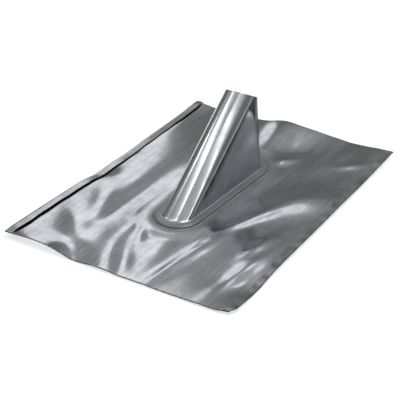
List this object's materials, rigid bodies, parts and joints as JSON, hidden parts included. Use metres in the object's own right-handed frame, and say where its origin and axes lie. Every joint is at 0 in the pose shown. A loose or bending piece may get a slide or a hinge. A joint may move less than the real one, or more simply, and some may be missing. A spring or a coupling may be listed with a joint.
{
  "type": "zinc flashing tile",
  "caption": "Rectangular zinc roof flashing tile with hemmed sides and an oblique tapered sleeve, lock-seamed into the sheet, that seals a mast or pipe through a pitched roof.",
  "frame": {"origin": "under the middle of the sheet, on the surface that its lowest points lie on", "axes": "+X across the slope, +Y up the slope, which the sleeve leans towards, +Z out of the roof"},
  "size_m": [0.36, 0.5, 0.1422],
  "materials": {
    "zinc_sheet": "bright rolled zinc, hand dressed",
    "zinc_sleeve": "bright rolled zinc, formed and smooth"
  },
  "bodies": {
    "root": {"base_sheet": "zinc_sheet", "sleeve": "zinc_sleeve"}
  },
  "joints": []
}
